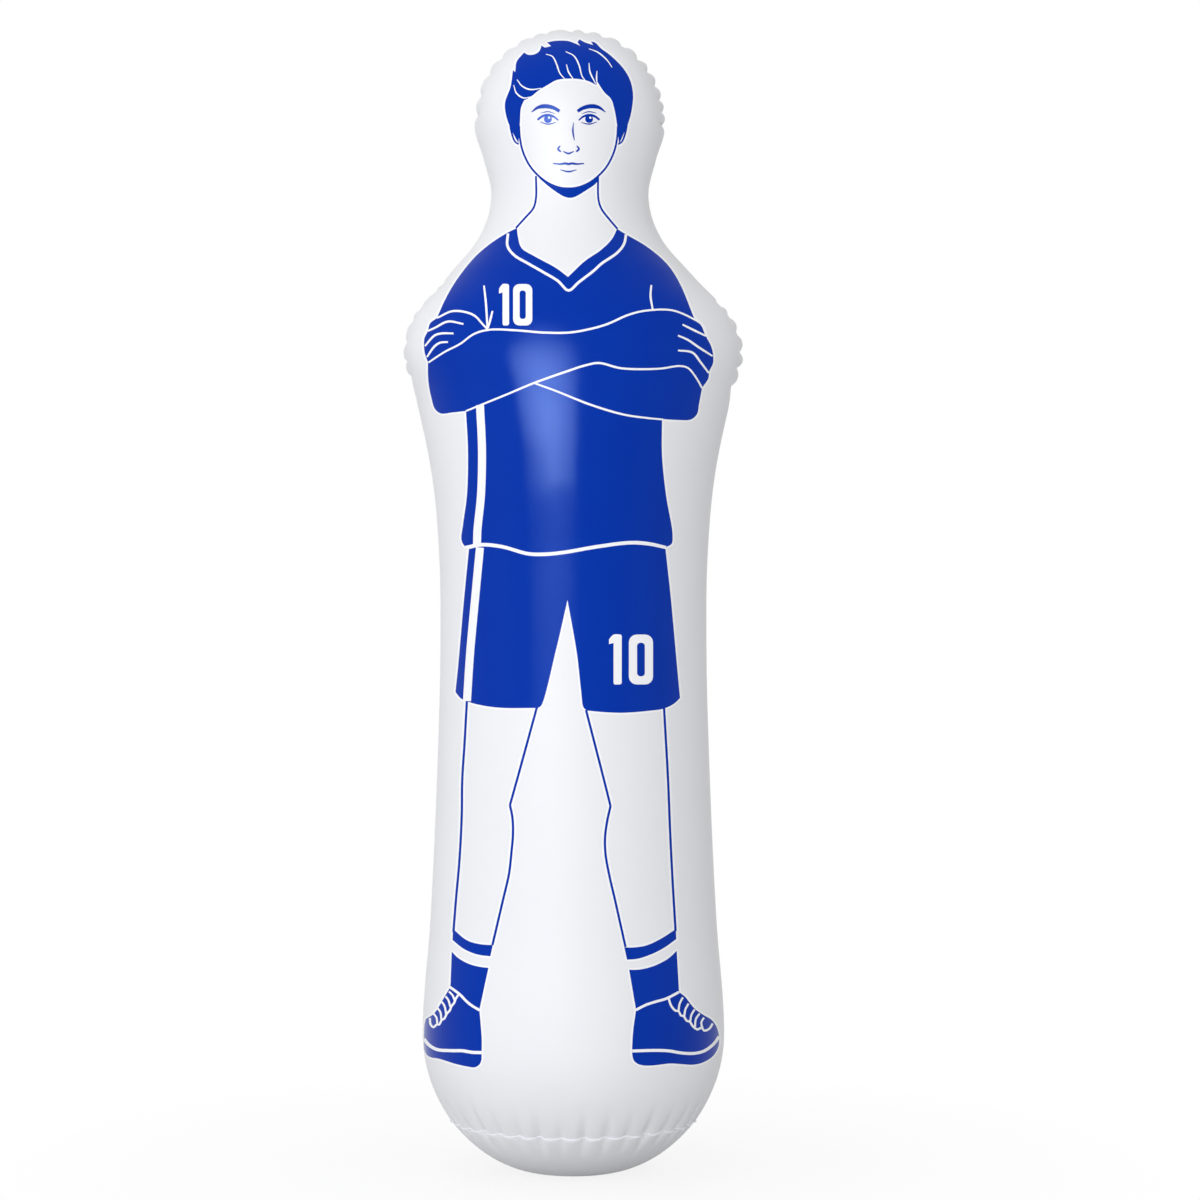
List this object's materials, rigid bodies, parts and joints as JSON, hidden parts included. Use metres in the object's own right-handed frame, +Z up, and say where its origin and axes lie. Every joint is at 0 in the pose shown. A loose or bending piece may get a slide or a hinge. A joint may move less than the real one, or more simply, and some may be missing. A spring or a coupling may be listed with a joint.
{
  "type": "inflatable training mannequin",
  "caption": "Upright inflatable training mannequin of welded PVC film with a printed standing player in front, a round water-ballasted base, an air valve and a capped water filler.",
  "frame": {"origin": "middle of the flat foot, on the floor", "axes": "+Z up along the body, -Y out of the printed front, +X towards the right hand side of someone who faces the front"},
  "size_m": [0.4774, 0.4447, 1.5996],
  "materials": {
    "front_film": "satin white PVC film, printed in blue",
    "rear_film": "satin white PVC film",
    "base_film": "satin white PVC film, gathered at its seam",
    "ballast_film": "thin milky PVC film",
    "water": "clear water",
    "valve_moulding": "soft moulded PVC, satin",
    "flap_film": "soft moulded PVC",
    "cap": "moulded, fine matt grain",
    "seal": "soft black rubber"
  },
  "bodies": {
    "mannequin": {"front_panel": "front_film", "rear_panel": "rear_film", "base_panel": "base_film", "ballast_bag": "ballast_film", "ballast_water": "water", "air_valve_collar": "valve_moulding", "filler_neck": "valve_moulding", "filler_strap": "valve_moulding"},
    "air_stem": {"air_valve_stem": "valve_moulding", "air_plug_strap": "valve_moulding"},
    "air_plug": {"air_valve_plug": "valve_moulding"},
    "air_flap": {"air_valve_flap": "flap_film"},
    "filler_lift": {"filler_seal": "seal"},
    "filler_cap": {"filler_cap": "cap"}
  },
  "joints": [
    {"name": "air_valve_push", "type": "slide", "parent": "mannequin", "child": "air_stem", "axis": [0, 1, 0], "range_m": [0, 0.014]},
    {"name": "air_plug_pull", "type": "slide", "parent": "air_stem", "child": "air_plug", "axis": [0, 1, 0], "range_m": [0, 0.011], "deforming": ["air_plug_strap"]},
    {"name": "air_flap_swing", "type": "hinge", "parent": "air_stem", "child": "air_flap", "pos_m": [0, 0.16179, 0.8056], "axis": [-1, 0, 0], "range_deg": [0, 50], "stiffness_Nm_per_rad": 0.00002},
    {"name": "filler_lift", "type": "slide", "parent": "mannequin", "child": "filler_lift", "axis": [0, 1, 0], "range_m": [0, 0.015], "deforming": ["filler_strap"]},
    {"name": "filler_turn", "type": "hinge", "parent": "filler_lift", "child": "filler_cap", "pos_m": [0, 0.21157, 0.205], "axis": [0, 1, 0], "range_deg": [0, 1080]}
  ],
  "couplings": [
    {"joint": "filler_lift", "follows": "filler_turn", "m_per_rad": 0.00079577}
  ]
}
